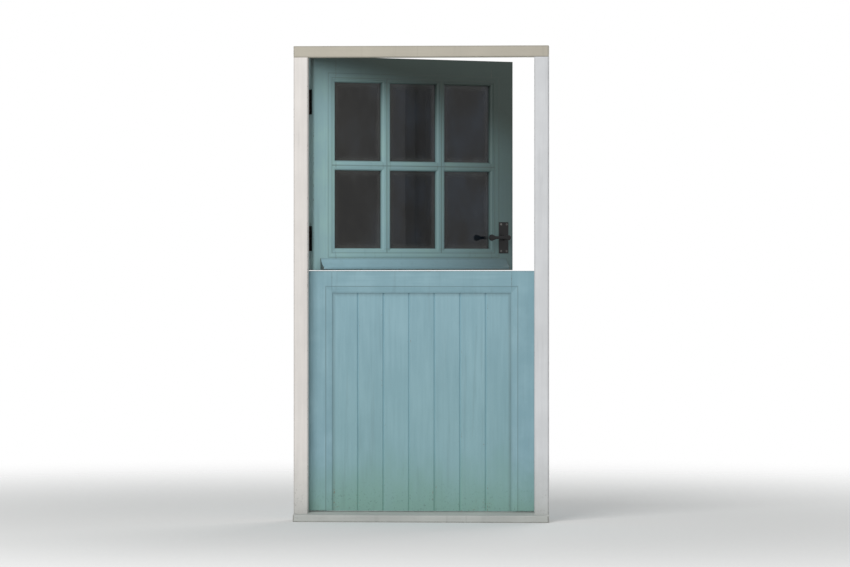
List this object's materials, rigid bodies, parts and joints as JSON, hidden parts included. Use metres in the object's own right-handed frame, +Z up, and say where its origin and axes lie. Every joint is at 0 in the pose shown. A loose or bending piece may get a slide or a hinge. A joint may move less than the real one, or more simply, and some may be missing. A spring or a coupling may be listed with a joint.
{
  "type": "dutch stable door",
  "caption": "Split timber stable door in its frame: glazed upper leaf ajar over a boarded lower leaf, lever latch, butt hinges and slide bolts.",
  "frame": {"origin": "On the underside of the sill, midway across the clear width, in line with the shoulder of the rebate that the leaves shut against.", "axes": "+X to the lock side, which is the viewer's right from outside; +Y into the room; +Z up."},
  "size_m": [1.016, 0.639, 1.894],
  "materials": {
    "frame_paint": "white painted timber, weathered",
    "leaf_paint": "pale blue-green painted timber, brushed",
    "glass": "clear window glass",
    "black_iron": "black lacquered iron",
    "steel": "dull zinc-plated steel"
  },
  "bodies": {
    "frame": {"sill": "frame_paint", "head": "frame_paint", "hinge_jamb": "frame_paint", "lock_jamb": "frame_paint", "strike_plate": "steel", "lower_bolt_keep": "black_iron", "hinge_pins": "black_iron", "frame_screws": "steel", "upper_top_hinge_frame_flap": "black_iron", "upper_foot_hinge_frame_flap": "black_iron", "lower_top_hinge_frame_flap": "black_iron", "lower_foot_hinge_frame_flap": "black_iron"},
    "upper_leaf": {"pane_1": "glass", "pane_2": "glass", "pane_3": "glass", "pane_4": "glass", "pane_5": "glass", "pane_6": "glass", "glazing_beads": "leaf_paint", "upper_top_hinge_leaf_flap": "black_iron", "upper_foot_hinge_leaf_flap": "black_iron", "outside_handle_plate": "black_iron", "inside_handle_plate": "black_iron", "latch_spring": "steel", "latch_case": "steel", "latch_forend": "steel", "joining_bolt_plate": "black_iron", "upper_hinge_stile": "leaf_paint", "upper_lock_stile": "leaf_paint", "upper_top_rail": "leaf_paint", "upper_bottom_rail": "leaf_paint", "upright_bar_1": "leaf_paint", "upright_bar_2": "leaf_paint", "cross_bars": "leaf_paint", "weatherboard": "leaf_paint", "upper_leaf_screws": "steel"},
    "lower_leaf": {"board_1": "leaf_paint", "board_2": "leaf_paint", "board_3": "leaf_paint", "board_4": "leaf_paint", "board_5": "leaf_paint", "board_6": "leaf_paint", "board_7": "leaf_paint", "diagonal_brace": "leaf_paint", "lower_top_hinge_leaf_flap": "black_iron", "lower_foot_hinge_leaf_flap": "black_iron", "lower_bolt_plate": "black_iron", "joining_bolt_keep": "black_iron", "lower_hinge_stile": "leaf_paint", "lower_lock_stile": "leaf_paint", "lower_top_rail": "leaf_paint", "lower_bottom_rail": "leaf_paint", "lower_leaf_screws": "steel"},
    "lever_handle": {"outside_lever": "black_iron", "inside_lever": "black_iron", "lever_spindle": "steel", "latch_follower": "steel"},
    "latch_bolt": {"latch_bolt": "steel"},
    "lower_bolt": {"lower_bolt_rod": "black_iron"},
    "joining_bolt": {"joining_bolt_rod": "black_iron"}
  },
  "joints": [
    {"name": "upper_leaf_hinge", "type": "hinge", "parent": "frame", "child": "upper_leaf", "pos_m": [-0.4615, 0.0535, 1.4], "axis": [0, 0, 1], "range_deg": [-32, 68]},
    {"name": "lower_leaf_hinge", "type": "hinge", "parent": "frame", "child": "lower_leaf", "pos_m": [-0.4615, 0.0535, 0.5], "axis": [0, 0, 1], "range_deg": [0, 100]},
    {"name": "lever_turn", "type": "hinge", "parent": "upper_leaf", "child": "lever_handle", "pos_m": [0.29777, 0.49434, 1.134], "axis": [0.5299, -0.848, 0], "range_deg": [0, 35], "stiffness_Nm_per_rad": 0.5, "springref_deg": -20.05},
    {"name": "latch_slide", "type": "slide", "parent": "upper_leaf", "child": "latch_bolt", "axis": [-0.848, -0.5299, 0], "range_m": [0, 0.01], "deforming": ["latch_spring"]},
    {"name": "lower_bolt_slide", "type": "slide", "parent": "lower_leaf", "child": "lower_bolt", "axis": [1, 0, 0], "range_m": [0, 0.028]},
    {"name": "joining_bolt_slide", "type": "slide", "parent": "upper_leaf", "child": "joining_bolt", "axis": [0, 0, -1], "range_m": [0, 0.018]}
  ],
  "couplings": [
    {"joint": "latch_slide", "follows": "lever_turn", "m_per_rad": 0.01637}
  ]
}
